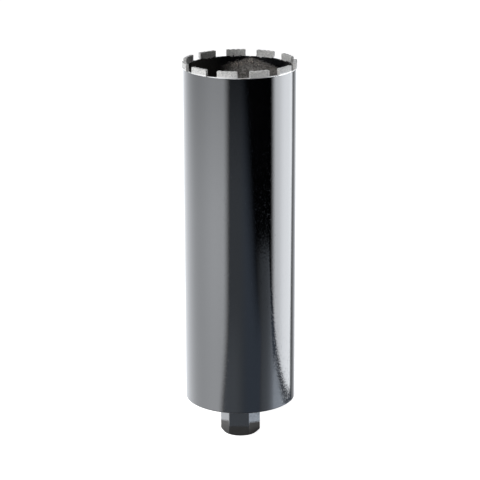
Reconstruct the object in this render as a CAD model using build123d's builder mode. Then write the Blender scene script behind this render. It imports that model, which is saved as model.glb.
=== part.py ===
from build123d import *
import math
import os

os.makedirs("parts", exist_ok=True)

# Diamond core bit, standing on its hub with the cutting rim up.
# The origin is the centre of the hub's lower face and +Z runs up the axis.
# All sizes are in millimetres and all angles in degrees.

# ---------------------------------------------------------------- driving dimensions
# Barrel: a plain steel tube with a rounded lower edge.
barrel_diameter = 130.0
barrel_wall = 2.5
barrel_length = 400.0
barrel_edge_radius = 1.2

# Back plate: a steel disc set inside the barrel's lower end and welded there.
plate_thickness = 8.0
plate_recess = 3.0  # from the barrel's lower end up to the disc
plate_clearance = 0.05  # on the radius, between disc and barrel
plate_bead = 2.4  # leg of the weld bead between disc and barrel

# Hub: a hexagon for the wrench, threaded for the drill's spindle.
hub_across_flats = 41.0
hub_projection = 46.0  # from the hub's lower face up to the barrel's lower end
hub_turn = -5.0  # of the hexagon about the axis
hub_end_diameter = 39.8  # of the end face that the turned chamfer leaves
hub_chamfer_angle = 30.0  # of that chamfer to the end face
hub_bead = 4.0  # leg of the weld bead between hub and disc
spigot_diameter = 36.0  # the round neck that locates the hub in the disc
spigot_clearance = 0.05
thread_diameter = 31.75  # 1-1/4 in, 7 threads to the inch
thread_depth = 38.0
thread_entry = 1.2  # countersink at the mouth of the thread
water_passage = 20.0  # through the neck, from the spindle into the barrel

# Segments: sintered diamond blocks welded onto the rim.
segment_count = 11
segment_length = 24.0  # along the outer arc
segment_thickness = 4.0
segment_height = 8.0
segment_overhang = 1.0  # beyond the outside of the barrel
segment_first = -12.4  # the first segment's turn from the front, about the axis
segment_corner = 0.5  # radius of its upright edges
crown_count = 4  # low ridges across its top
crown_rise = 0.5

# ---------------------------------------------------------------- levels and radii
barrel_radius = barrel_diameter / 2
bore_radius = barrel_radius - barrel_wall
barrel_base = hub_projection
rim_level = barrel_base + barrel_length
plate_base = barrel_base + plate_recess
plate_top = plate_base + plate_thickness
spigot_radius = spigot_diameter / 2
segment_outer = barrel_radius + segment_overhang
segment_inner = segment_outer - segment_thickness
segment_arc = math.degrees(segment_length / segment_outer)


# ---------------------------------------------------------------- barrel
with BuildPart() as barrel:
    with BuildSketch(Plane.XY.offset(barrel_base)):
        Circle(barrel_radius)
        Circle(bore_radius, mode=Mode.SUBTRACT)
    extrude(amount=barrel_length)
    lower_edges = barrel.edges().filter_by(GeomType.CIRCLE).group_by(Axis.Z)[0]
    fillet(lower_edges.sort_by(SortBy.RADIUS)[-1], radius=barrel_edge_radius)

barrel.part.label = "barrel"
export_step(barrel.part, "parts/barrel.step")


# ---------------------------------------------------------------- back plate
# Half section of the disc: its neck hole, the flat faces, and the weld bead that
# runs down from the lower face to the barrel's bore.
plate_radius = bore_radius - plate_clearance
neck_hole_radius = spigot_radius + spigot_clearance

with BuildPart() as back_plate:
    with BuildSketch(Plane.XZ):
        with BuildLine():
            Polyline(
                (neck_hole_radius, plate_base),
                (plate_radius - plate_bead, plate_base),
                (plate_radius, plate_base - plate_bead),
                (plate_radius, plate_top),
                (neck_hole_radius, plate_top),
                close=True,
            )
        make_face()
    revolve(axis=Axis.Z)

back_plate.part.label = "back_plate"
export_step(back_plate.part, "parts/back_plate.step")


# ---------------------------------------------------------------- hub
hub_corner_radius = hub_across_flats / math.sqrt(3)
hub_end_radius = hub_end_diameter / 2
chamfer_rise = (hub_corner_radius - hub_end_radius) * math.tan(math.radians(hub_chamfer_angle))

with BuildPart() as hub:
    # The hexagon, with its corners turned off at the lower end.
    with BuildSketch():
        RegularPolygon(hub_corner_radius, side_count=6, rotation=hub_turn)
    extrude(amount=plate_base)
    with BuildSketch(Plane.XZ):
        with BuildLine():
            Polyline(
                (0, 0),
                (hub_end_radius, 0),
                (hub_corner_radius, chamfer_rise),
                (hub_corner_radius, plate_base),
                (0, plate_base),
                close=True,
            )
        make_face()
    revolve(axis=Axis.Z, mode=Mode.INTERSECT)

    # The neck that passes through the disc, and the weld bead under the disc.
    with BuildSketch(Plane.XY.offset(plate_base)):
        Circle(spigot_radius)
    extrude(amount=plate_thickness)
    with BuildSketch(Plane.XZ):
        with BuildLine():
            Polyline(
                (0, plate_base),
                (hub_corner_radius + hub_bead, plate_base),
                (hub_corner_radius, plate_base - hub_bead),
                (0, plate_base - hub_bead),
                close=True,
            )
        make_face()
    revolve(axis=Axis.Z)

    # The thread from below, at its outside diameter, and the water passage above it.
    with Locations((0, 0, plate_top)):
        Hole(radius=water_passage / 2)
    with Locations(Plane.XY):
        Hole(radius=thread_diameter / 2, depth=thread_depth)
    thread_mouth = hub.faces().sort_by(Axis.Z)[0].inner_wires()[0].edges()
    chamfer(thread_mouth, length=thread_entry)

hub.part.label = "hub"
export_step(hub.part, "parts/hub.step")


# ---------------------------------------------------------------- segments
valley_level = rim_level + segment_height - crown_rise
crown_width = segment_length / crown_count
valleys = [(-segment_length / 2 + i * crown_width, valley_level) for i in range(crown_count + 1)]

with BuildPart() as segment:
    # The arc-shaped block, seated on the rim at the front of the barrel.
    with BuildSketch(Plane.XY.offset(rim_level)):
        with BuildLine():
            outer_arc = CenterArc((0, 0), segment_outer, -90 - segment_arc / 2, segment_arc)
            inner_arc = CenterArc((0, 0), segment_inner, -90 - segment_arc / 2, segment_arc)
            Line(outer_arc @ 0, inner_arc @ 0)
            Line(outer_arc @ 1, inner_arc @ 1)
        make_face()
    extrude(amount=segment_height)
    fillet(segment.edges().filter_by(Axis.Z), radius=segment_corner)

    # Its top is shaped into low crowns, side by side.
    with BuildSketch(Plane.XZ):
        with BuildLine():
            for left, right in zip(valleys, valleys[1:]):
                SagittaArc(left, right, crown_rise)
            Polyline(
                valleys[-1],
                (valleys[-1][0], rim_level),
                (valleys[0][0], rim_level),
                valleys[0],
            )
        make_face()
    extrude(amount=segment_outer, mode=Mode.INTERSECT)

for number in range(segment_count):
    turn = segment_first + number * 360 / segment_count
    placed = segment.part.rotate(Axis.Z, turn)
    placed.label = f"segment_{number + 1:02d}"
    export_step(placed, f"parts/{placed.label}.step")
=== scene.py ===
"""Looks of a diamond core bit: gloss black barrel and hub, bare steel rim, sintered segments.

Lengths are in metres. The origin is the centre of the hub's lower face, and +Z points up the axis.
"""

import math

import bmesh
import bpy
import numpy as np
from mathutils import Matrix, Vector, noise


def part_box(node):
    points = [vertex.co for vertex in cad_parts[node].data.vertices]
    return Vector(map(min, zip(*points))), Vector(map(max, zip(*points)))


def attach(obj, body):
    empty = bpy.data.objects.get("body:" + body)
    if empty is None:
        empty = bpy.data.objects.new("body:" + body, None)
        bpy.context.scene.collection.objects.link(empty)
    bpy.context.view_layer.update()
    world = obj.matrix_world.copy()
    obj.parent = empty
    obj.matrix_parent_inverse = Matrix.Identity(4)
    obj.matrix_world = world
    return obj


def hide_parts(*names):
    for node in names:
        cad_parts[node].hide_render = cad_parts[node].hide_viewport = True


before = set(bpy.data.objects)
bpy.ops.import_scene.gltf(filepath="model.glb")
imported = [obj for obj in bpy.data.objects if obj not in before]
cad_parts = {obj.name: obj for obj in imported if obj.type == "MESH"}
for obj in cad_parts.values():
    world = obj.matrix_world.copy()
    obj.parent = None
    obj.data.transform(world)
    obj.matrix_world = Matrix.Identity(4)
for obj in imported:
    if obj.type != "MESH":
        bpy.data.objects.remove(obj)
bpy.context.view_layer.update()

MM = 0.001

# ---------------------------------------------------------------- sizes read from the frame
barrel_low, barrel_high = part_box("barrel")
_, plate_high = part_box("back_plate")
segment_names = sorted(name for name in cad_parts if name.startswith("segment_"))
segment_tip = max(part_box(name)[1].z for name in segment_names)

BARREL_RADIUS = barrel_high.x
BARREL_BASE = barrel_low.z
RIM_LEVEL = barrel_high.z
PLATE_TOP = plate_high.z
SEGMENT_HEIGHT = segment_tip - RIM_LEVEL

# ---------------------------------------------------------------- sizes that the frame doesn't give
BARREL_WALL = 2.5 * MM
BARREL_EDGE = 1.2 * MM  # rounding of the lower outer edge
RIM_EDGE = 0.15 * MM  # broken edge of the rim
PLATE_THICKNESS = 8 * MM
PLATE_GAP = 0.05 * MM
PLATE_EDGE = 0.4 * MM
WELD_LEG_PLATE = 2.4 * MM
WELD_LEG_HUB = 4 * MM
HUB_APOTHEM = 20.5 * MM
HUB_TURN = math.radians(-5)
HUB_END_RADIUS = 19.9 * MM
HUB_CHAMFER = math.radians(30)
HUB_CORNER_ROUND = 0.7 * MM
HUB_CHAMFER_ROUND = 0.5 * MM
NECK_RADIUS = 18 * MM
NECK_EDGE = 0.5 * MM
WATER_RADIUS = 10 * MM
WATER_EDGE = 0.8 * MM
THREAD_RADIUS = 15.875 * MM
THREAD_PITCH = 25.4 * MM / 7
THREAD_DEPTH = 38 * MM
THREAD_ENTRY = 1.2 * MM
SEGMENT_LENGTH = 24 * MM
SEGMENT_OVERHANG = 1 * MM
SEGMENT_THICKNESS = 4 * MM
SEGMENT_EDGE = 0.45 * MM
SEGMENT_FIRST = math.radians(-12.4)
CROWN_COUNT = 4
CROWN_RISE = 0.6 * MM

BORE_RADIUS = BARREL_RADIUS - BARREL_WALL
UNDER_PLATE = PLATE_TOP - PLATE_THICKNESS
HUB_CORNER_RADIUS = HUB_APOTHEM / math.cos(math.pi / 6)
THREAD_MOUTH = THREAD_RADIUS + THREAD_ENTRY
SEGMENT_OUTER = BARREL_RADIUS + SEGMENT_OVERHANG
SEGMENT_INNER = SEGMENT_OUTER - SEGMENT_THICKNESS

# ---------------------------------------------------------------- camera
CAMERA_PLACE = Vector((0.0, -2.2635, 0.9181))
CAMERA_DIP = 0.2915  # radians below the horizon
CAMERA_ROLL = -0.0024
FOCAL_PIXELS = 2013
FRAME_PIXELS = 480
SENSOR_WIDTH = 36.0


def make_camera():
    data = bpy.data.cameras.new("camera")
    data.sensor_width = SENSOR_WIDTH
    data.lens = FOCAL_PIXELS * SENSOR_WIDTH / FRAME_PIXELS
    camera = bpy.data.objects.new("camera", data)
    camera.location = CAMERA_PLACE
    camera.rotation_euler = (math.pi / 2 - CAMERA_DIP, 0, 0)
    camera.rotation_euler.rotate_axis("Z", CAMERA_ROLL)
    bpy.context.scene.collection.objects.link(camera)
    bpy.context.scene.camera = camera


# ---------------------------------------------------------------- node helpers
def add_node(tree, kind, inputs=None, **settings):
    """Adds a node; inputs maps a socket's name or number to a value or to another node's output."""
    node = tree.nodes.new(kind)
    for name, value in settings.items():
        setattr(node, name, value)
    for key, value in (inputs or {}).items():
        feed(tree, node.inputs[key], value)
    return node


def feed(tree, socket, value):
    if isinstance(value, bpy.types.NodeSocket):
        tree.links.new(value, socket)
    else:
        socket.default_value = value


def maths(tree, operation, *values):
    node = tree.nodes.new("ShaderNodeMath")
    node.operation = operation
    for socket, value in zip(node.inputs, values):
        feed(tree, socket, value)
    return node.outputs[0]


def chain(tree, operation, values):
    """Applies an operation of two numbers to the first and second value, then to the result and the third."""
    result = values[0]
    for value in values[1:]:
        result = maths(tree, operation, result, value)
    return result


def add(tree, *values):
    return chain(tree, "ADD", values)


def times(tree, *values):
    return chain(tree, "MULTIPLY", values)


def largest(tree, *values):
    return chain(tree, "MAXIMUM", values)


def smallest(tree, *values):
    return chain(tree, "MINIMUM", values)


def minus(tree, first, second):
    return maths(tree, "SUBTRACT", first, second)


def rest_of(tree, share):
    return minus(tree, 1.0, share)


def squared(tree, value):
    return maths(tree, "POWER", value, 2.0)


def past(tree, value, limit):
    """How far the value lies past the limit, and 0 short of it."""
    return largest(tree, minus(tree, value, limit), 0.0)


def step(tree, value, start, end):
    """0 up to start and 1 from end, with a smooth turn between; start may be above end."""
    inputs = {"Value": value, "From Min": start, "From Max": end}
    node = add_node(tree, "ShaderNodeMapRange", inputs, interpolation_type="SMOOTHSTEP")
    return node.outputs["Result"]


def mix_numbers(tree, factor, first, second):
    node = add_node(tree, "ShaderNodeMix", {0: factor, 2: first, 3: second}, data_type="FLOAT")
    return node.outputs[0]


def mix_colors(tree, factor, first, second):
    node = add_node(tree, "ShaderNodeMix", data_type="RGBA")
    feed(tree, node.inputs["Factor"], factor)
    feed(tree, node.inputs[6], first)
    feed(tree, node.inputs[7], second)
    return node.outputs[2]


def scale_color(tree, color, amount):
    node = add_node(tree, "ShaderNodeVectorMath", operation="SCALE")
    feed(tree, node.inputs[0], color)
    feed(tree, node.inputs["Scale"], amount)
    return node.outputs[0]


def brighter_color(tree, first, second):
    node = add_node(tree, "ShaderNodeVectorMath", {0: first, 1: second}, operation="MAXIMUM")
    return node.outputs[0]


def mirrored_rays(tree):
    """1 for the rays that gloss or clear surfaces send out, 0 for diffuse ones and the camera's own."""
    path = add_node(tree, "ShaderNodeLightPath").outputs
    return largest(tree, path["Is Glossy Ray"], path["Is Transmission Ray"])


# ---------------------------------------------------------------- studio
# Gloss sees a studio that is drawn by direction. Azimuth is 0 towards the photo's camera and 90 towards
# +X, and dip is measured down from the horizon, both in degrees. Levels are radiances. A pair of azimuths
# or dips is a range: a step is 0 at its first value and 1 at its second.
AMBIENT = 0.03
BACK_LEVEL = 1.25
CARD_TINT = (0.965, 0.995, 1.04)
FLOOR_TINT_LEFT = (0.88, 0.98, 1.12)
FLOOR_TINT_RIGHT = (0.76, 0.94, 1.24)
FLOOR_TINT_TURN = (-5, 20)

LEFT_LEVEL = 2.7  # falls to the level of the back behind the part
LEFT_FALL = (-192, -118)
LEFT_EXTRA = 1.3  # added beside the front
LEFT_EXTRA_AZIMUTHS = (-106, -50)
LEFT_LOW_LOSS = 0.27  # of that addition, close to the floor
LEFT_LOW_DIPS = (17, 20.5)
LEFT_HIGH_LOSS = 0.30  # of the whole card, higher up
LEFT_HIGH_DIPS = (16.5, 11)
LEFT_HIGH_AZIMUTHS = (-165, -115)
LEFT_TURN = -1.4
LEFT_EDGE = (-18, -37)
LEFT_LEAN_FROM, LEFT_LEAN = 15, 0.45  # from this dip the edge leans back by that much for each degree
LEFT_BEND_FROM, LEFT_BEND = 18.5, 1.3  # and from this one it bends back with the square
LEFT_MOST_BACK = 14.0

RIGHT_LEVEL = 6.6
RIGHT_RISE = (((65.3, 80.5), 0.85), ((80, 100), 0.15))  # its near edge, in two parts with their shares
RIGHT_SLOPE = (130, 100)
RIGHT_SLOPE_LEAST = 0.72
RIGHT_FALL = (140.6, 129.4)  # its far edge
RIGHT_LEAN_FROM, RIGHT_LEAN, RIGHT_MOST_LEAN = 14.3, 0.85, 4.4  # which leans forward from this dip down
RIGHT_TOP = (-4, 2)
RIGHT_ABOVE = (-22, -30)  # a second, fainter part high above the horizon
RIGHT_ABOVE_SHARE = 0.6
RIGHT_BOTTOM = 21.03  # dip of the lower edge, from the far end of its bow on
RIGHT_BOW_NEAR, RIGHT_BOW_FAR = 62.0, 125.0
RIGHT_BOW = 0.0007  # rise of that edge from the far end, times the square of the azimuth between
RIGHT_HOOK_FROM, RIGHT_HOOK = 84.0, 0.0038  # the same again, nearer the front
RIGHT_CUT = (0.02, -0.18)  # degrees below that edge

BOUNCE_LEAST = 0.68  # the light on the floor under the right card
BOUNCE_EXTRA = 2.0
BOUNCE_FROM, BOUNCE_OVER, BOUNCE_POWER = 20.0, 56, 6.0  # the extra grows over so many degrees, with a power
BOUNCE_START = (25, 52)
BOUNCE_TOP, BOUNCE_TOP_SHARE, BOUNCE_DEEPER = 18.3, 0.67, 0.11  # its share grows from this dip down
BOUNCE_BELOW = (0.24, 0.86)  # degrees below the card's edge, past the dark line
DARK_LINE_WIDER = 0.75  # degrees, where these two ranges of azimuth meet
DARK_LINE_RISE, DARK_LINE_FALL = (62, 72), (82, 72)

FLOOR_LEVEL = 0.46  # what the dark front shows of the floor
FLOOR_START = 12.8  # dip of its far edge, which lies further down towards the right
FLOOR_LOWER, FLOOR_LOWER_BY = (-2, 40), 5.7
FLOOR_SOFTNESS = 3.2  # of that edge, which is sharper towards the right
FLOOR_SHARPER, FLOOR_SHARPER_BY = (15, 45), 2.0
FLOOR_FULL, FLOOR_FAINT_SHARE = (95, 72), 0.4  # fainter under the right card
FLOOR_NEAR_LEFT = 0.24  # added under the left card's edge
FLOOR_NEAR_LEFT_AZIMUTHS, FLOOR_NEAR_LEFT_DIPS = (12, -14), (18, 21)

BACK_GREY = 0.6  # beside the right card
BACK_GREY_END = (146, 156)
BACK_START = (134, 140)
BACK_HORIZON = (-3, 3)
BEHIND = (160, 170)
OVERHEAD = (-35, -60)
SHADE_SHARE = 0.12  # what is left of it all straight below
SHADE_FRONT_DIPS = (34, 25)
SHADE_BEHIND_AZIMUTHS, SHADE_BEHIND_DIPS = (100, 125), (86, 72)


def left_card(tree, azimuth, dip):
    """A wide card, brightest beside the front; its near edge draws back towards the floor."""
    lean = times(tree, past(tree, dip, LEFT_LEAN_FROM), LEFT_LEAN)
    bend = times(tree, squared(tree, past(tree, dip, LEFT_BEND_FROM)), LEFT_BEND)
    drawn_back = smallest(tree, add(tree, lean, bend), LEFT_MOST_BACK)
    edge = step(tree, add(tree, azimuth, LEFT_TURN, drawn_back), *LEFT_EDGE)
    low = rest_of(tree, times(tree, step(tree, dip, *LEFT_LOW_DIPS), LEFT_LOW_LOSS))
    extra = times(tree, step(tree, azimuth, *LEFT_EXTRA_AZIMUTHS), low, LEFT_EXTRA)
    above_back = times(tree, step(tree, azimuth, *LEFT_FALL), LEFT_LEVEL - BACK_LEVEL)
    high = times(tree, step(tree, dip, *LEFT_HIGH_DIPS), step(tree, azimuth, *LEFT_HIGH_AZIMUTHS))
    level = add(tree, BACK_LEVEL, extra, above_back)
    return times(tree, level, edge, rest_of(tree, times(tree, high, LEFT_HIGH_LOSS)))


def below_right_card(tree, azimuth, dip):
    """How far a direction lies below the right card's lower edge, which bows upwards towards the front."""
    reach = smallest(tree, largest(tree, azimuth, RIGHT_BOW_NEAR), RIGHT_BOW_FAR)
    bow = times(tree, squared(tree, minus(tree, RIGHT_BOW_FAR, reach)), RIGHT_BOW)
    past_hook = largest(tree, minus(tree, RIGHT_HOOK_FROM, reach), 0.0)
    hook = times(tree, squared(tree, past_hook), RIGHT_HOOK)
    return add(tree, dip, -RIGHT_BOTTOM, bow, hook)


def right_fall(tree, azimuth, dip):
    """1 short of the right card's far edge, which leans forward towards the floor, and 0 past it."""
    lean = smallest(tree, times(tree, past(tree, dip, RIGHT_LEAN_FROM), RIGHT_LEAN), RIGHT_MOST_LEAN)
    return step(tree, add(tree, azimuth, lean), *RIGHT_FALL)


def right_card(tree, azimuth, dip):
    """A bright low card, cut off below by a bowed edge."""
    first, second = (times(tree, step(tree, azimuth, *part), share) for part, share in RIGHT_RISE)
    slope = times(tree, step(tree, azimuth, *RIGHT_SLOPE), 1 - RIGHT_SLOPE_LEAST)
    above = times(tree, step(tree, dip, *RIGHT_ABOVE), RIGHT_ABOVE_SHARE)
    height = largest(tree, step(tree, dip, *RIGHT_TOP), above)
    lower_edge = step(tree, below_right_card(tree, azimuth, dip), *RIGHT_CUT)
    level = times(tree, add(tree, first, second), add(tree, RIGHT_SLOPE_LEAST, slope), RIGHT_LEVEL)
    return times(tree, level, right_fall(tree, azimuth, dip), height, lower_edge)


def right_bounce(tree, azimuth, dip):
    """The right card's light on the floor, under a dark line along the card's lower edge."""
    turned = smallest(tree, times(tree, past(tree, azimuth, BOUNCE_FROM), 1 / BOUNCE_OVER), 1.0)
    level = add(tree, BOUNCE_LEAST, times(tree, maths(tree, "POWER", turned, BOUNCE_POWER), BOUNCE_EXTRA))
    deeper = add(tree, BOUNCE_TOP_SHARE, times(tree, past(tree, dip, BOUNCE_TOP), BOUNCE_DEEPER))
    wide_part = times(tree, step(tree, azimuth, *DARK_LINE_RISE), step(tree, azimuth, *DARK_LINE_FALL))
    wider = times(tree, wide_part, DARK_LINE_WIDER)
    start, end = (add(tree, limit, wider) for limit in BOUNCE_BELOW)
    past_line = step(tree, below_right_card(tree, azimuth, dip), start, end)
    sides = times(tree, step(tree, azimuth, *BOUNCE_START), right_fall(tree, azimuth, dip))
    return times(tree, level, smallest(tree, deeper, 1.0), past_line, sides)


def floor_in_front(tree, azimuth, dip):
    """The front is dark; the floor shows under it, further down towards the right."""
    start = add(tree, FLOOR_START, times(tree, step(tree, azimuth, *FLOOR_LOWER), FLOOR_LOWER_BY))
    sharper = times(tree, step(tree, azimuth, *FLOOR_SHARPER), FLOOR_SHARPER_BY)
    from_start = maths(tree, "DIVIDE", minus(tree, dip, start), minus(tree, FLOOR_SOFTNESS, sharper))
    fuller = times(tree, step(tree, azimuth, *FLOOR_FULL), 1 - FLOOR_FAINT_SHARE)
    shown = times(tree, step(tree, from_start, -1, 1), add(tree, FLOOR_FAINT_SHARE, fuller), FLOOR_LEVEL)
    to_left = step(tree, azimuth, *FLOOR_NEAR_LEFT_AZIMUTHS)
    near_left = times(tree, to_left, step(tree, dip, *FLOOR_NEAR_LEFT_DIPS), FLOOR_NEAR_LEFT)
    return add(tree, shown, near_left)


def back_and_top(tree, azimuth, dip):
    """A white back, grey beside the right card, and a white ceiling."""
    white_share = times(tree, step(tree, azimuth, *BACK_GREY_END), BACK_LEVEL - BACK_GREY)
    sides = times(tree, step(tree, azimuth, *BACK_START), step(tree, dip, *BACK_HORIZON))
    back = times(tree, add(tree, BACK_GREY, white_share), sides)
    behind = times(tree, step(tree, maths(tree, "ABSOLUTE", azimuth), *BEHIND), BACK_LEVEL)
    overhead = times(tree, step(tree, dip, *OVERHEAD), BACK_LEVEL)
    return largest(tree, back, behind, overhead)


def studio_reflections(tree):
    """What gloss sees: cards on both sides, a dark front above a floor, a white back and a ceiling."""
    direction = add_node(tree, "ShaderNodeTexCoord").outputs["Generated"]
    axes = add_node(tree, "ShaderNodeSeparateXYZ", {0: direction}).outputs
    azimuth = maths(tree, "DEGREES", maths(tree, "ARCTAN2", axes["X"], times(tree, axes["Y"], -1.0)))
    dip = maths(tree, "DEGREES", maths(tree, "ARCSINE", times(tree, axes["Z"], -1.0)))

    cards = largest(
        tree,
        left_card(tree, azimuth, dip),
        right_card(tree, azimuth, dip),
        back_and_top(tree, azimuth, dip),
    )
    to_right = step(tree, azimuth, *FLOOR_TINT_TURN)
    floor_tint = mix_colors(tree, to_right, (*FLOOR_TINT_LEFT, 1), (*FLOOR_TINT_RIGHT, 1))
    floor_light = scale_color(tree, floor_tint, floor_in_front(tree, azimuth, dip))
    bounce_light = scale_color(tree, FLOOR_TINT_LEFT, right_bounce(tree, azimuth, dip))
    card_light = scale_color(tree, CARD_TINT, cards)
    light = brighter_color(tree, brighter_color(tree, floor_light, bounce_light), card_light)

    # Further down it all fades, as it would in the part's own shade.
    from_front = maths(tree, "ABSOLUTE", azimuth)
    behind = times(tree, step(tree, from_front, *SHADE_BEHIND_AZIMUTHS), step(tree, dip, *SHADE_BEHIND_DIPS))
    clear = largest(tree, step(tree, dip, *SHADE_FRONT_DIPS), behind)
    return scale_color(tree, light, add(tree, SHADE_SHARE, times(tree, clear, 1 - SHADE_SHARE)))


def make_world():
    """White to the camera, the studio to gloss, and a plain even light to everything else."""
    world = bpy.data.worlds.new("studio")
    bpy.context.scene.world = world
    world.use_nodes = True
    tree = world.node_tree
    tree.nodes.clear()
    even_light = (AMBIENT, AMBIENT, AMBIENT, 1)
    color = mix_colors(tree, mirrored_rays(tree), even_light, studio_reflections(tree))
    from_camera = add_node(tree, "ShaderNodeLightPath").outputs["Is Camera Ray"]
    color = mix_colors(tree, from_camera, color, (1, 1, 1, 1))
    background = add_node(tree, "ShaderNodeBackground", {"Color": color, "Strength": 1.0})
    add_node(tree, "ShaderNodeOutputWorld", {"Surface": background.outputs[0]})


# A lamp's place, the point that it faces, its side and its radiance.
LAMPS = {
    "key_lamp": ((-2.03, -1.37, 1.54), (0, 0, 0.4), 1.3, 14.0),
    "right_lamp": ((1.9, 0.3, 0.15), (0, 0, 0.3), 0.7, 10.0),
    "front_lamp": ((-0.15, -2.2, 0.05), (0, 0, 0.4), 0.7, 14.0),
}


def make_lamp(name, place, target, size, level):
    """A square softbox of that radiance. It lights surfaces; the world's cards are what gloss shows."""
    data = bpy.data.lights.new(name, "AREA")
    data.shape = "SQUARE"
    data.size = size
    data.energy = level * math.pi * size**2
    lamp = bpy.data.objects.new(name, data)
    lamp.location = place
    lamp.rotation_euler = (Vector(target) - Vector(place)).to_track_quat("-Z", "Y").to_euler()
    lamp.visible_glossy = False
    bpy.context.scene.collection.objects.link(lamp)


FLOOR_SIZE = 8.0
FLOOR_DROP = 0.05 * MM
FLOOR_WHITE = (0.8, 0.8, 0.8, 1)
FLOOR_GLOW = 0.97  # what the camera sees of the floor besides its own light
FLOOR_BOUNCE = 0.16  # what the floor adds to the light on the part
FLOOR_SIDE_GLOW = 0.35  # what gloss sees of the floor beside the hub
FLOOR_SIDE = (12 * MM, 45 * MM)
FLOOR_SEEN = (47 * MM, 56 * MM)  # gloss shows the floor near the hub, and the studio further out


def make_floor_material():
    """White for the camera, with a glow for light and gloss; clear from below, and to gloss in the bore."""
    material = bpy.data.materials.new("floor")
    material.use_nodes = True
    tree = material.node_tree
    tree.nodes.clear()
    path = add_node(tree, "ShaderNodeLightPath").outputs
    geometry = add_node(tree, "ShaderNodeNewGeometry").outputs
    place = geometry["Position"]
    distance = add_node(tree, "ShaderNodeVectorMath", {0: place}, operation="LENGTH").outputs["Value"]
    aside = maths(tree, "ABSOLUTE", add_node(tree, "ShaderNodeSeparateXYZ", {0: place}).outputs["X"])
    mirrored = mirrored_rays(tree)
    outside_bore = step(tree, distance, THREAD_RADIUS, HUB_END_RADIUS)

    seen = times(tree, path["Is Camera Ray"], outside_bore, FLOOR_GLOW)
    given = times(tree, path["Is Diffuse Ray"], FLOOR_BOUNCE)
    shown = times(tree, mirrored, step(tree, aside, *FLOOR_SIDE), FLOOR_SIDE_GLOW)
    white = add_node(tree, "ShaderNodeBsdfDiffuse", {"Color": FLOOR_WHITE})
    glow = add_node(tree, "ShaderNodeEmission", {"Strength": add(tree, seen, given, shown)})
    lit = add_node(tree, "ShaderNodeAddShader", {0: white.outputs[0], 1: glow.outputs[0]})

    far_off = times(tree, mirrored, step(tree, distance, *FLOOR_SEEN))
    under_bore = times(tree, mirrored, rest_of(tree, outside_bore))
    share = largest(tree, far_off, under_bore, geometry["Backfacing"])
    clear = add_node(tree, "ShaderNodeBsdfTransparent")
    surface = add_node(tree, "ShaderNodeMixShader", {0: share, 1: lit.outputs[0], 2: clear.outputs[0]})
    add_node(tree, "ShaderNodeOutputMaterial", {"Surface": surface.outputs[0]})
    return material


def make_floor():
    mesh = bpy.data.meshes.new("floor")
    half = FLOOR_SIZE / 2
    corners = [(-half, -half, 0), (half, -half, 0), (half, half, 0), (-half, half, 0)]
    mesh.from_pydata(corners, [], [(0, 1, 2, 3)])
    mesh.materials.append(make_floor_material())
    floor = bpy.data.objects.new("floor", mesh)
    floor.location.z = -FLOOR_DROP
    bpy.context.scene.collection.objects.link(floor)


# ---------------------------------------------------------------- materials
def new_material(name, specular=0.5):
    material = bpy.data.materials.new(name)
    material.use_nodes = True
    tree = material.node_tree
    tree.nodes.clear()
    shader = add_node(tree, "ShaderNodeBsdfPrincipled")
    shader.inputs["Specular IOR Level"].default_value = specular
    add_node(tree, "ShaderNodeOutputMaterial", {"Surface": shader.outputs[0]})
    place = add_node(tree, "ShaderNodeTexCoord").outputs["Object"]
    return material, tree, shader, place


def speckle(tree, place, size, detail=2.0):
    """Noise between 0 and 1 whose features are about that size."""
    node = add_node(tree, "ShaderNodeTexNoise", {"Vector": place, "Scale": 1 / size, "Detail": detail})
    return node.outputs["Fac"]


def sway(tree, place, size, detail=2.0):
    """The same noise, less a half, so that it sways about 0."""
    return minus(tree, speckle(tree, place, size, detail), 0.5)


def bump(tree, height, depth, below=None):
    node = add_node(tree, "ShaderNodeBump", {"Height": height, "Distance": depth, "Strength": 1.0})
    if below is not None:
        feed(tree, node.inputs["Normal"], below)
    return node.outputs["Normal"]


def cylinder_axes(tree, place):
    """Radius, angle and height of a point, as node outputs."""
    axes = add_node(tree, "ShaderNodeSeparateXYZ", {0: place}).outputs
    radius = maths(tree, "SQRT", add(tree, squared(tree, axes["X"]), squared(tree, axes["Y"])))
    return radius, maths(tree, "ARCTAN2", axes["Y"], axes["X"]), axes["Z"]


PAINT_COLOR = (0.0011, 0.0012, 0.0015, 1)
PAINT_DUST = (0.008, 0.0084, 0.0095, 1)
PAINT_DUST_SIZE, PAINT_DUST_SHARE = 0.9 * MM, 0.8
PAINT_DUST_EDGE, PAINT_DUST_CLOUDS = (0.60, 0.80), (0.35, 0.75)
PAINT_SPECULAR = 0.875
GLOSS_ROUGHNESS = 0.03
GLOSS_WEAR = 0.012  # roughness added where the paint is cloudiest
CLOUD_SIZE = 28 * MM
PEEL_SIZE, PEEL_DEPTH = 2.4 * MM, 0.013 * MM
NIB_SIZE, NIB_EDGE, NIB_DEPTH = 1.7 * MM, (0.60, 0.78), 0.018 * MM


def paint_layers(tree, place):
    """Colour, roughness and normal of sprayed gloss black paint: orange peel, fine nibs and faint dust."""
    cloud = speckle(tree, place, CLOUD_SIZE, 4.0)
    grains = step(tree, speckle(tree, place, PAINT_DUST_SIZE, 3.0), *PAINT_DUST_EDGE)
    dust = times(tree, grains, step(tree, cloud, *PAINT_DUST_CLOUDS), PAINT_DUST_SHARE)
    color = mix_colors(tree, dust, PAINT_COLOR, PAINT_DUST)
    roughness = add(tree, GLOSS_ROUGHNESS, times(tree, cloud, GLOSS_WEAR))
    peel = bump(tree, speckle(tree, place, PEEL_SIZE, 1.0), PEEL_DEPTH)
    nibs = step(tree, speckle(tree, place, NIB_SIZE, 2.0), *NIB_EDGE)
    return color, roughness, bump(tree, nibs, NIB_DEPTH, peel)


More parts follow.
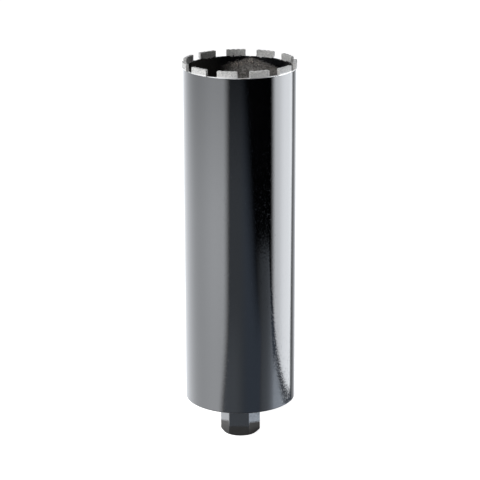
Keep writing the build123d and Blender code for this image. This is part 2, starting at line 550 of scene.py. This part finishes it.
def make_paint():
    material, tree, shader, place = new_material("gloss_black_paint", PAINT_SPECULAR)
    color, roughness, normal = paint_layers(tree, place)
    feed(tree, shader.inputs["Base Color"], color)
    feed(tree, shader.inputs["Roughness"], roughness)
    feed(tree, shader.inputs["Normal"], normal)
    return material


THREAD_STEEL = (0.40, 0.39, 0.375, 1)
THREAD_STEEL_DARK = (0.22, 0.205, 0.19, 1)
THREAD_ROUGHNESS = 0.34
THREAD_STAIN_SIZE, THREAD_STAIN_EDGE = 5 * MM, (0.40, 0.70)
MACHINED_RADII = (THREAD_MOUTH + 0.3 * MM, THREAD_MOUTH)
MACHINED_HEIGHTS = (THREAD_DEPTH + 0.2 * MM, THREAD_DEPTH)


def make_hub_finish():
    """Gloss paint, and machined steel in the threaded bore."""
    material, tree, shader, place = new_material("hub_paint_and_thread", PAINT_SPECULAR)
    radius, _, height = cylinder_axes(tree, place)
    paint_color, paint_roughness, paint_normal = paint_layers(tree, place)
    machined = times(tree, step(tree, radius, *MACHINED_RADII), step(tree, height, *MACHINED_HEIGHTS))
    stain = step(tree, speckle(tree, place, THREAD_STAIN_SIZE, 3.0), *THREAD_STAIN_EDGE)
    steel = mix_colors(tree, stain, THREAD_STEEL, THREAD_STEEL_DARK)
    feed(tree, shader.inputs["Base Color"], mix_colors(tree, machined, paint_color, steel))
    feed(tree, shader.inputs["Metallic"], machined)
    roughness = mix_numbers(tree, machined, paint_roughness, THREAD_ROUGHNESS)
    feed(tree, shader.inputs["Roughness"], roughness)
    feed(tree, shader.inputs["Normal"], paint_normal)
    return material


GROUND_STEEL = (0.54, 0.535, 0.525, 1)
GROUND_TINT = (0.36, 0.29, 0.22, 1)  # what welding leaves on it
GROUND_ROUGHNESS = 0.36
GROUND_TINT_SIZE, GROUND_TINT_EDGE, GROUND_TINT_SHARE = 9 * MM, (0.48, 0.75), 0.5
MARK_TURN, MARK_ACROSS = 3.0, 9000.0  # grinding marks for a radian of turn, and for a metre across
MARK_DEPTH = 0.01 * MM
MARK_ROUGHNESS = 0.2
PAINT_THICKNESS = 0.05 * MM
INSIDE_RADII = (BARREL_RADIUS - 0.8 * MM, BARREL_RADIUS - 1.2 * MM)
BARE_OUTSIDE = 0.7 * MM  # unpainted strip below the rim
BARE_LEFT = 0.15 * MM  # the same strip on the side towards -X
BARE_LEFT_COSINES = (-0.30, -0.70)
BARE_WANDER_SIZE, BARE_WANDER = 7 * MM, 0.6 * MM
BARE_SOFTNESS = 0.12 * MM
BARE_INSIDE_DULL = 0.65  # share by which the bare steel inside is less metallic
INNER_PAINT_RISE = 0.15 * MM  # how far above the rim the paint reaches inside, on average
INNER_PAINT_WAVES = ((7 * MM, 5 * MM), (2.0 * MM, 7 * MM))  # broad and fine ones of its edge: size, height
INNER_PAINT_ROUGHNESS = 0.25
RAW_STEEL = (0.150, 0.143, 0.136, 1)
RAW_SCALE = (0.045, 0.042, 0.039, 1)
RAW_RUST = (0.55, 0.475, 0.40, 1)
RAW_ROUGHNESS, RAW_METALLIC = 0.62, 0.25
RAW_NEAR_RIM, RAW_PAINTED_LIGHT_DEEPER, RAW_PAINTED_LIGHT_DEPTHS = 0.72, 0.85, (9 * MM, 19 * MM)  # levels by depth in the bore, as painted light: darker near the rim, paler deeper in where the lamps reach less
RAW_PAINTED_LIGHT_LEVEL, RAW_PAINTED_SHADE_RIGHT, RAW_PAINTED_SHADE_COSINES = 1.35, 0.75, (0.12, 0.60)  # levels round it as painted light and shade: raised all round, darker towards +X
SCALE_SIZE, SCALE_EDGE = 2.5 * MM, (0.38, 0.62)
RUST_SIZE, RUST_EDGE = 1.0 * MM, (0.52, 0.72)
RUST_REACH, RUST_FAR = (8 * MM, 2 * MM), 0.12  # past the overspray, and the share that is left beyond
INNER_GRIT_SIZE, INNER_GRIT_DEPTH = 1.3 * MM, 0.05 * MM
OVERSPRAY_DEPTH = 2.4 * MM  # how far into the bore the paint reaches, where it reaches least
OVERSPRAY_SLANT = 31 * MM  # and how much further on the side across from there
OVERSPRAY_LEAST = math.radians(78)
OVERSPRAY_WAVE, OVERSPRAY_RAGGED = 2.0 * MM, 11 * MM  # size and height of the waves of its edge
OVERSPRAY_SOFTNESS = 2 * MM
PAINTED_SHADE_SIDE = math.radians(140)  # where the bore stays black all the way down: painted shade on the side that the lamps don't reach
PAINTED_SHADE_COSINES = (0.90, 0.71)  # from that side


def inner_paint_edge(tree, place):
    """How far above the rim the paint ends on the inside; the edge is ragged."""
    broad, fine = (times(tree, sway(tree, place, size, 3.0), height) for size, height in INNER_PAINT_WAVES)
    return add(tree, INNER_PAINT_RISE, broad, fine)


def bare_strip(tree, place, angle, inside, below_rim):
    """1 on the bare steel at the rim, where the paint's edge wanders outside and is ragged inside."""
    to_left = step(tree, maths(tree, "COSINE", angle), *BARE_LEFT_COSINES)
    wander = times(tree, sway(tree, place, BARE_WANDER_SIZE, 3.0), BARE_WANDER)
    outside_width = add(tree, mix_numbers(tree, to_left, BARE_OUTSIDE, BARE_LEFT), wander)
    inside_width = times(tree, inner_paint_edge(tree, place), -1.0)
    past_edge = minus(tree, below_rim, mix_numbers(tree, inside, outside_width, inside_width))
    return step(tree, past_edge, BARE_SOFTNESS, -BARE_SOFTNESS)


def overspray_end(tree, place, angle):
    """How far below the rim the overspray ends in the bore: it slants round the axis, with a ragged edge."""
    half_turn = times(tree, minus(tree, angle, OVERSPRAY_LEAST), 0.5)
    away = maths(tree, "ABSOLUTE", maths(tree, "SINE", half_turn))
    ragged = times(tree, sway(tree, place, OVERSPRAY_WAVE, 4.0), OVERSPRAY_RAGGED)
    return add(tree, OVERSPRAY_DEPTH, times(tree, away, OVERSPRAY_SLANT), ragged)


def raw_steel_color(tree, place, angle, below_rim, past_spray):
    """Unpainted tube steel: dark mill scale with rusty specks next to the overspray, and painted light and
    shade: paler deeper in, darker towards +X.
    """
    patches = step(tree, speckle(tree, place, SCALE_SIZE, 4.0), *SCALE_EDGE)
    color = mix_colors(tree, patches, RAW_SCALE, RAW_STEEL)
    # Painted light: the steel is made paler deeper in the bore and darker near the rim.
    deeper_painted_light = times(tree, step(tree, below_rim, *RAW_PAINTED_LIGHT_DEPTHS), RAW_PAINTED_LIGHT_DEEPER)
    color = scale_color(tree, color, add(tree, RAW_NEAR_RIM, deeper_painted_light))
    near_spray = add(tree, RUST_FAR, step(tree, past_spray, *RUST_REACH))
    specks = step(tree, speckle(tree, place, RUST_SIZE, 3.0), *RUST_EDGE)
    color = mix_colors(tree, times(tree, specks, near_spray), color, RAW_RUST)
    # Painted light and shade round the bore: raised all round, and darker towards +X.
    to_right = step(tree, maths(tree, "COSINE", angle), *RAW_PAINTED_SHADE_COSINES)
    return scale_color(tree, color, minus(tree, RAW_PAINTED_LIGHT_LEVEL, times(tree, to_right, RAW_PAINTED_SHADE_RIGHT)))


def ground_steel(tree, place, radius, angle, height):
    """Colour of the ground rim, tinted in places, and the fine marks that run round it."""
    tinted = step(tree, speckle(tree, place, GROUND_TINT_SIZE, 2.0), *GROUND_TINT_EDGE)
    turned = add_node(tree, "ShaderNodeCombineXYZ", {
        0: times(tree, angle, MARK_TURN),
        1: times(tree, radius, MARK_ACROSS),
        2: times(tree, height, MARK_ACROSS),
    }).outputs[0]
    color = mix_colors(tree, times(tree, tinted, GROUND_TINT_SHARE), GROUND_STEEL, GROUND_TINT)
    return color, speckle(tree, turned, 1.0)


def make_barrel_finish():
    """Gloss paint outside and a little way in, raw steel inside with painted light and shade, black as
    painted shade down one side of the bore, and a strip of ground steel at the rim.
    """
    material, tree, shader, place = new_material("barrel_paint_and_steel", PAINT_SPECULAR)
    radius, angle, height = cylinder_axes(tree, place)
    below_rim = minus(tree, RIM_LEVEL, height)
    inside = step(tree, radius, *INSIDE_RADII)
    bare = bare_strip(tree, place, angle, inside, below_rim)
    past_spray = minus(tree, below_rim, overspray_end(tree, place, angle))
    unsprayed = step(tree, past_spray, -OVERSPRAY_SOFTNESS, OVERSPRAY_SOFTNESS)
    # Painted shade: on one side the bore keeps the black paint colour all the way down.
    outside_painted_shade = step(tree, maths(tree, "COSINE", minus(tree, angle, PAINTED_SHADE_SIDE)), *PAINTED_SHADE_COSINES)
    raw = times(tree, inside, unsprayed, outside_painted_shade)

    paint_color, paint_roughness, paint_normal = paint_layers(tree, place)
    raw_color = raw_steel_color(tree, place, angle, below_rim, past_spray)
    ground_color, marks = ground_steel(tree, place, radius, angle, height)
    color = mix_colors(tree, raw, paint_color, raw_color)
    feed(tree, shader.inputs["Base Color"], mix_colors(tree, bare, color, ground_color))

    bright = times(tree, bare, rest_of(tree, times(tree, inside, BARE_INSIDE_DULL)))
    feed(tree, shader.inputs["Metallic"], largest(tree, bright, times(tree, raw, RAW_METALLIC)))
    rough = mix_numbers(tree, inside, paint_roughness, INNER_PAINT_ROUGHNESS)
    rough = mix_numbers(tree, raw, rough, RAW_ROUGHNESS)
    rough = mix_numbers(tree, bare, rough, add(tree, GROUND_ROUGHNESS, times(tree, marks, MARK_ROUGHNESS)))
    feed(tree, shader.inputs["Roughness"], rough)

    grit = times(tree, speckle(tree, place, INNER_GRIT_SIZE, 3.0), inside)
    normal = bump(tree, grit, INNER_GRIT_DEPTH, paint_normal)
    normal = bump(tree, times(tree, marks, bare), MARK_DEPTH, normal)
    feed(tree, shader.inputs["Normal"], bump(tree, bare, -PAINT_THICKNESS, normal))
    return material


SINTER_LIGHT = (0.52, 0.515, 0.50, 1)
SINTER_DARK = (0.33, 0.33, 0.325, 1)
SINTER_PIT = (0.10, 0.10, 0.10, 1)
DIAMOND_COLOR = (0.74, 0.72, 0.60, 1)
MOTTLE_SIZE, MOTTLE_EDGE = 1.6 * MM, (0.35, 0.65)
CRYSTAL_CELL = 0.8 * MM
CRYSTAL_EDGE = (0.34, 0.22)
CRYSTAL_DEPTH = 0.09 * MM
PALE_CELLS, PALE_SHARE = (0.70, 0.74), 0.8
PITTED_CELLS, PITTED_SHARE = (0.22, 0.18), 0.85
POWDER_SIZE, POWDER_DEPTH = 0.55 * MM, 0.10 * MM
BACKING_COLOR = (0.52, 0.51, 0.50, 1)  # the foot is plain metal, without diamond
BACKING_HEIGHT, BACKING_SOFTNESS = 1.4 * MM, 0.3 * MM
BACKING_ROUGHNESS, GRITTY_ROUGHNESS = 0.42, 0.58
BACKING_METALLIC, GRITTY_METALLIC = 0.55, 0.25
INNER_FACE_RADII = (SEGMENT_INNER + 0.8 * MM, SEGMENT_INNER + 0.4 * MM)
FOOT_PAINT_SOFTNESS = 0.2 * MM


def make_sintered_metal():
    """Pressed metal powder with diamond grit: mottled grey, pitted, with pale crystals and a painted foot."""
    material, tree, shader, place = new_material("sintered_segment")
    radius, _, height = cylinder_axes(tree, place)
    above_foot = minus(tree, height, RIM_LEVEL)
    above_backing = minus(tree, above_foot, BACKING_HEIGHT)
    gritty = step(tree, above_backing, -BACKING_SOFTNESS, BACKING_SOFTNESS)
    above_paint = minus(tree, above_foot, inner_paint_edge(tree, place))
    below_paint_edge = step(tree, above_paint, FOOT_PAINT_SOFTNESS, -FOOT_PAINT_SOFTNESS)
    painted = times(tree, step(tree, radius, *INNER_FACE_RADII), below_paint_edge)

    # About one cell in four holds a pale crystal, and one in five a pit that a crystal has left.
    mottle = step(tree, speckle(tree, place, MOTTLE_SIZE, 4.0), *MOTTLE_EDGE)
    cells = add_node(tree, "ShaderNodeTexVoronoi", {"Vector": place, "Scale": 1 / CRYSTAL_CELL})
    crystal = step(tree, cells.outputs["Distance"], *CRYSTAL_EDGE)
    chosen = add_node(tree, "ShaderNodeSeparateColor", {0: cells.outputs["Color"]}).outputs[0]
    pale = times(tree, crystal, step(tree, chosen, *PALE_CELLS))
    pitted = times(tree, crystal, step(tree, chosen, *PITTED_CELLS))

    color = mix_colors(tree, mottle, SINTER_DARK, SINTER_LIGHT)
    color = mix_colors(tree, times(tree, pale, PALE_SHARE), color, DIAMOND_COLOR)
    color = mix_colors(tree, times(tree, pitted, PITTED_SHARE), color, SINTER_PIT)
    color = mix_colors(tree, gritty, BACKING_COLOR, color)
    feed(tree, shader.inputs["Base Color"], mix_colors(tree, painted, color, PAINT_COLOR))
    feed(tree, shader.inputs["Metallic"], mix_numbers(tree, gritty, BACKING_METALLIC, GRITTY_METALLIC))
    feed(tree, shader.inputs["Roughness"], mix_numbers(tree, gritty, BACKING_ROUGHNESS, GRITTY_ROUGHNESS))
    powder = bump(tree, speckle(tree, place, POWDER_SIZE, 3.0), POWDER_DEPTH)
    feed(tree, shader.inputs["Normal"], bump(tree, minus(tree, pale, pitted), CRYSTAL_DEPTH, powder))
    return material


# ---------------------------------------------------------------- mesh helpers
def ring_patch(rows, closed=True):
    """Quads between neighbouring rows of points; a closed row ends where it starts."""
    rows = np.asarray(rows, float)
    index = np.arange(rows.shape[0] * rows.shape[1]).reshape(rows.shape[:2])
    low, high = index[:-1], index[1:]
    quads = np.stack([low, np.roll(low, -1, 1), np.roll(high, -1, 1), high], axis=-1)
    if not closed:
        quads = quads[:, :-1]
    return rows.reshape(-1, 3), quads.reshape(-1, 4)


def around(angles, radii, heights):
    """A row of points on given angles, radii and heights; any of them may be one number."""
    angles, radii, heights = np.broadcast_arrays(np.asarray(angles, float), radii, heights)
    return np.stack([radii * np.cos(angles), radii * np.sin(angles), heights], axis=-1)


def lathe_patch(profile, angles):
    return ring_patch([around(angles, radius, height) for radius, height in profile])


def full_turn(count):
    return np.arange(count) * 2 * math.pi / count


def rounded_corner(center, radius, start, end, count):
    """Points of a quarter arc in the half section, angles in degrees."""
    turns = [math.radians(start + (end - start) * i / count) for i in range(count + 1)]
    return [(center[0] + radius * math.cos(t), center[1] + radius * math.sin(t)) for t in turns]


def smooth_min(first, second, blend):
    """The smaller of two arrays, with a rounded change-over of that width."""
    overlap = np.maximum(blend - np.abs(first - second), 0) / blend
    return np.minimum(first, second) - overlap**2 * blend / 4


MERGE_DISTANCE = 0.002 * MM
SHARP_ANGLE = math.radians(32)


def make_piece(name, patches, material, node=None):
    points = np.concatenate([p for p, _ in patches])
    offsets = np.cumsum([0] + [len(p) for p, _ in patches[:-1]])
    quads = np.concatenate([q + offset for (_, q), offset in zip(patches, offsets)])
    mesh = bpy.data.meshes.new(name)
    mesh.from_pydata(points.tolist(), [], quads.tolist())
    shape = bmesh.new()
    shape.from_mesh(mesh)
    bmesh.ops.remove_doubles(shape, verts=shape.verts, dist=MERGE_DISTANCE)
    bmesh.ops.dissolve_degenerate(shape, edges=shape.edges, dist=MERGE_DISTANCE)
    bmesh.ops.recalc_face_normals(shape, faces=shape.faces)
    shape.to_mesh(mesh)
    shape.free()
    mesh.polygons.foreach_set("use_smooth", [True] * len(mesh.polygons))
    mesh.set_sharp_from_angle(angle=SHARP_ANGLE)
    mesh.materials.append(material)
    piece = bpy.data.objects.new(name, mesh)
    bpy.context.scene.collection.objects.link(piece)
    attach(piece, "root")
    if node:
        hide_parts(node)


# ---------------------------------------------------------------- barrel and back plate
BARREL_STEPS = 512
PLATE_STEPS = 256
BARREL_EDGE_STEPS = 10
RIM_EDGE_STEPS = 3
SUPPORT = 0.3 * MM  # a row beside each rounded edge keeps the shading of the long wall true


def make_barrel(material):
    outer, inner = BARREL_RADIUS, BORE_RADIUS
    edge_center = (outer - BARREL_EDGE, BARREL_BASE + BARREL_EDGE)
    rim_center = RIM_LEVEL - RIM_EDGE
    profile = [
        (inner, BARREL_BASE),
        *rounded_corner(edge_center, BARREL_EDGE, -90, 0, BARREL_EDGE_STEPS),
        (outer, BARREL_BASE + BARREL_EDGE + SUPPORT),
        (outer, rim_center - SUPPORT),
        *rounded_corner((outer - RIM_EDGE, rim_center), RIM_EDGE, 0, 90, RIM_EDGE_STEPS),
        *rounded_corner((inner + RIM_EDGE, rim_center), RIM_EDGE, 90, 180, RIM_EDGE_STEPS),
        (inner, rim_center - SUPPORT),
        (inner, BARREL_BASE),
    ]
    patch = lathe_patch(profile, full_turn(BARREL_STEPS))
    make_piece("barrel_tube", [patch], material, "barrel")


def make_back_plate(material):
    radius = BORE_RADIUS - PLATE_GAP
    hole = NECK_RADIUS + PLATE_GAP
    profile = [
        (hole, UNDER_PLATE),
        (radius, UNDER_PLATE),
        (radius, PLATE_TOP - PLATE_EDGE),
        (radius - PLATE_EDGE, PLATE_TOP),
        (hole + PLATE_EDGE, PLATE_TOP),
        (hole, PLATE_TOP - PLATE_EDGE),
        (hole, UNDER_PLATE),
    ]
    patch = lathe_patch(profile, full_turn(PLATE_STEPS))
    make_piece("back_plate_disc", [patch], material, "back_plate")


# ---------------------------------------------------------------- hub
HUB_SIDE_STEPS = 32
HUB_CROWDING = 0.65  # how much closer together the angles lie at the corners
HUB_LEVELS_MM = (0.08, 0.2, 0.35, 0.6, 0.9, 1.2, 1.6, 2.0, 2.4, 2.8, 3.4, 4.5, 8, 16, 28, 40)
HUB_END_SUPPORT = 0.12 * MM
THREAD_HEIGHT = THREAD_PITCH * math.sqrt(3) / 2 * 5 / 8
THREAD_ROOT, THREAD_FLANK = 1 / 16, 5 / 16  # half the root's flat, and a flank, as shares of the pitch
THREAD_MARKS = np.array([-1, 0, 1, 3.5, 6, 8, 10, 12.5]) / 16  # rows: root, flank, crest and flank


def hexagon_radius(angles):
    """Distance from the axis to the hexagon's side, its corners slightly rounded."""
    sixth = math.pi / 3
    turn = (angles - HUB_TURN + math.pi / 2 + sixth / 2) % sixth - sixth / 2
    near = HUB_APOTHEM / np.cos(turn)
    next_side = HUB_APOTHEM / np.cos(sixth - np.abs(turn))
    return smooth_min(near, next_side, HUB_CORNER_ROUND)


def hub_angles():
    """Angles round the hub, closer together at the corners."""
    share = np.linspace(-1, 1, HUB_SIDE_STEPS, endpoint=False)
    turn = math.pi / 6 * ((1 - HUB_CROWDING) * share + HUB_CROWDING * np.sin(share * math.pi / 2))
    sides = [turn + HUB_TURN - math.pi / 2 + side * math.pi / 3 for side in range(6)]
    return np.concatenate(sides)


def thread_radius(phase):
    """Radius of a 60 degree internal thread at a phase from 0 to 1 of its pitch, measured from a root."""
    from_root = np.abs((phase + 0.5) % 1.0 - 0.5)
    return THREAD_RADIUS - THREAD_HEIGHT * np.clip((from_root - THREAD_ROOT) / THREAD_FLANK, 0, 1)


def bore_radius(angles, heights):
    """The threaded bore with its countersunk mouth."""
    turns = (angles - angles.flat[0]) / (2 * math.pi)
    return np.maximum(thread_radius(heights / THREAD_PITCH - turns), THREAD_MOUTH - heights)


def thread_patch(angles):
    """The thread as rows that climb with its helix, cut off at the mouth and at the bottom."""
    angles = np.append(angles, angles[0] + 2 * math.pi)
    turns = (angles - angles[0]) / (2 * math.pi)
    pitches = int(THREAD_DEPTH / THREAD_PITCH) + 3
    rows = []
    for mark in np.concatenate([THREAD_MARKS + i for i in range(-1, pitches)]):
        heights = np.clip((mark + turns) * THREAD_PITCH, 0, THREAD_DEPTH)
        rows.append(around(angles, bore_radius(angles, heights), heights))
    return ring_patch(rows, closed=False)


def make_hub(material):
    angles = hub_angles()
    side = hexagon_radius(angles)
    zero = np.zeros_like(angles)
    rows = [
        around(angles, bore_radius(angles, zero), 0),
        around(angles, HUB_END_RADIUS - HUB_END_SUPPORT, 0),
    ]
    for level in HUB_LEVELS_MM:
        cone = HUB_END_RADIUS + level * MM / math.tan(HUB_CHAMFER)
        rows.append(around(angles, smooth_min(side, cone + zero, HUB_CHAMFER_ROUND), level * MM))
    rows.append(around(angles, side, UNDER_PLATE))
    neck = [
        (NECK_RADIUS, UNDER_PLATE),
        (NECK_RADIUS, PLATE_TOP - NECK_EDGE),
        (NECK_RADIUS - NECK_EDGE, PLATE_TOP),
        (WATER_RADIUS + WATER_EDGE, PLATE_TOP),
        (WATER_RADIUS, PLATE_TOP - WATER_EDGE),
        (WATER_RADIUS, THREAD_DEPTH),
    ]
    rows += [around(angles, radius, height) for radius, height in neck]
    rows.append(around(angles, bore_radius(angles, zero + THREAD_DEPTH), THREAD_DEPTH))
    make_piece("hub_body", [ring_patch(rows), thread_patch(angles)], material, "hub")


# ---------------------------------------------------------------- weld beads
BEAD_ROWS = 11
RIPPLE_STEPS = 8
RIPPLE_HEIGHT = 0.16 * MM
RIPPLE_LAG = 0.7  # how far a ripple's middle trails its ends, in ripples
RIPPLE_LEAN = 1.6  # power that leans each ripple to one side
UNEVEN_WAVES = ((0.5, 7, 1), (0.4, 13, 2), (0.3, 29, 0))  # share, waves in a turn, and start in radians
UNEVEN_SWELL = 0.12  # of the bead's swell
WELD_INSET = 0.02 * MM
TOE_INSET = 0.2 * MM
HEEL_CLEARANCE = 1 * MM  # between the heel and the neck


def bead_angles(ripples):
    return full_turn(RIPPLE_STEPS * ripples)


def weld_ring(name, start, end, heel, swell, ripples, material):
    """A weld bead round the axis: a swelling face from start to end, closed by the heel inside the metal.

    Each is a radius and a height, and a radius may be one number or one for each angle of bead_angles. In
    the half section the open side lies on the left of the way from start to end.
    """
    angles = bead_angles(ripples)
    run = end[0] - start[0]
    rise = end[1] - start[1]
    length = np.hypot(run, rise)
    uneven = sum(share * np.sin(waves * angles + turn) for share, waves, turn in UNEVEN_WAVES)
    rows = []
    for share in np.linspace(0, 1, BEAD_ROWS):
        crown = math.sin(math.pi * share)
        phase = (angles * ripples / (2 * math.pi) + uneven - RIPPLE_LAG * crown) % 1.0
        ripple = np.sin(math.pi * phase**RIPPLE_LEAN)
        lift = crown * (swell + RIPPLE_HEIGHT * ripple + UNEVEN_SWELL * swell * uneven)
        radii = start[0] + run * share - rise / length * lift
        rows.append(around(angles, radii, start[1] + rise * share + run / length * lift))
    rows.append(around(angles, *heel))
    rows.append(rows[0])
    make_piece(name, [ring_patch(rows)], material)


def make_plate_weld(material):
    wall = BORE_RADIUS - WELD_INSET
    weld_ring(
        "plate_weld",
        start=(wall, UNDER_PLATE - WELD_LEG_PLATE),
        end=(BORE_RADIUS - WELD_LEG_PLATE, UNDER_PLATE),
        heel=(wall, UNDER_PLATE),
        swell=0.35 * MM,
        ripples=200,
        material=material,
    )


def make_hub_weld(material):
    """Its toe on the hub follows the hexagon."""
    ripples = 84
    weld_ring(
        "hub_weld",
        start=(HUB_CORNER_RADIUS + WELD_LEG_HUB, UNDER_PLATE),
        end=(hexagon_radius(bead_angles(ripples)) - TOE_INSET, UNDER_PLATE - WELD_LEG_HUB),
        heel=(NECK_RADIUS + HEEL_CLEARANCE, UNDER_PLATE),
        swell=0.6 * MM,
        ripples=ripples,
        material=material,
    )


# ---------------------------------------------------------------- segments
SEGMENT_SPACING = 0.3 * MM
GRAIN_DEPTH = 0.10 * MM
GRAIN_SIZE, SWELL_SIZE = 0.7 * MM, 2.4 * MM
CHIP_DEPTH = 0.30 * MM
CHIP_SIZE = 1.8 * MM
CHIP_GAIN = 3.0
CHIP_SHIFT = Vector((7, 3, 1))  # keeps the chips apart from the grain
SEED_SHIFT = 0.05  # between the grain of one segment and the next
FOOT_FADE = 0.8 * MM  # the grain fades towards the seat, to the least share
FOOT_LEAST = 0.15
CROWN_FADE = 6  # power by which the crowns fade from the top down


def box_grid(half):
    """Quads over a box's six sides, about SEGMENT_SPACING apart, as patches of points and quads."""
    counts = [max(2, round(2 * h / SEGMENT_SPACING)) for h in half]
    patches = []
    for axis in range(3):
        first, second = (axis + 1) % 3, (axis + 2) % 3
        a, b = np.meshgrid(
            np.linspace(-half[first], half[first], counts[first] + 1),
            np.linspace(-half[second], half[second], counts[second] + 1),
            indexing="ij",
        )
        for sign in (-1, 1):
            points = np.empty(a.shape + (3,))
            points[..., first], points[..., second], points[..., axis] = a, b, sign * half[axis]
            patches.append(ring_patch(points, closed=False))
    return patches


def crown_drop(along):
    """How far the top lies below its highest level: low crowns side by side along the segment."""
    share = (along / SEGMENT_LENGTH + 0.5) * CROWN_COUNT
    from_middle = (share % 1.0) * 2 - 1
    return CROWN_RISE * from_middle**2


def grain_depth(place, normal, above_seat, seed):
    """How far grain, swells and chipped edges lie below the smooth surface."""
    sample = Vector((place.x + seed * SEED_SHIFT, place.y, place.z))
    grain = 0.5 + 0.5 * noise.noise(sample / GRAIN_SIZE)
    swell = 0.5 + 0.5 * noise.noise(sample / SWELL_SIZE)
    edge_share = 1 - max(abs(normal.x), abs(normal.y), abs(normal.z))
    chip = max(0.0, noise.noise(sample / CHIP_SIZE + CHIP_SHIFT)) * edge_share * CHIP_GAIN
    fade = max(min(1.0, above_seat / FOOT_FADE), FOOT_LEAST)
    return (grain * GRAIN_DEPTH + swell * GRAIN_DEPTH + chip * CHIP_DEPTH) * fade


def shape_segment(point, half, seed):
    """Moves a point of the plain block onto the rounded, crowned and grainy one."""
    inner = Vector((
        min(max(point[0], -half[0] + SEGMENT_EDGE), half[0] - SEGMENT_EDGE),
        min(max(point[1], -half[1] + SEGMENT_EDGE), half[1] - SEGMENT_EDGE),
        min(point[2], half[2] - SEGMENT_EDGE),
    ))
    out = Vector(point) - inner
    if out.length == 0:  # the seat
        return Vector(point)
    normal = out.normalized()
    place = inner + normal * SEGMENT_EDGE
    top_share = min(max((place.z + half[2]) / (2 * half[2]), 0), 1)
    place.z -= crown_drop(place.x) * top_share**CROWN_FADE
    return place - normal * grain_depth(place, normal, place.z + half[2], seed)


def make_segment(number, name, material, turn):
    half = (SEGMENT_LENGTH / 2, SEGMENT_THICKNESS / 2, SEGMENT_HEIGHT / 2)
    middle = SEGMENT_OUTER - half[1]
    patches = []
    for points, quads in box_grid(half):
        shaped = np.array([shape_segment(p, half, number) for p in points])
        angles = turn - math.pi / 2 + shaped[:, 0] / SEGMENT_OUTER
        radii = middle - shaped[:, 1]
        patches.append((around(angles, radii, shaped[:, 2] + RIM_LEVEL + half[2]), quads))
    make_piece(f"segment_block_{number:02d}", patches, material, name)


# ---------------------------------------------------------------- the whole part
make_camera()
make_world()
make_floor()
for lamp_name, lamp_values in LAMPS.items():
    make_lamp(lamp_name, *lamp_values)

paint = make_paint()
make_barrel(make_barrel_finish())
make_back_plate(paint)
make_hub(make_hub_finish())
make_plate_weld(paint)
make_hub_weld(paint)

sintered = make_sintered_metal()
for number, name in enumerate(segment_names, start=1):
    make_segment(number, name, sintered, SEGMENT_FIRST + (number - 1) * 2 * math.pi / len(segment_names))

bpy.context.scene.view_settings.view_transform = "Standard"
bpy.context.view_layer.update()
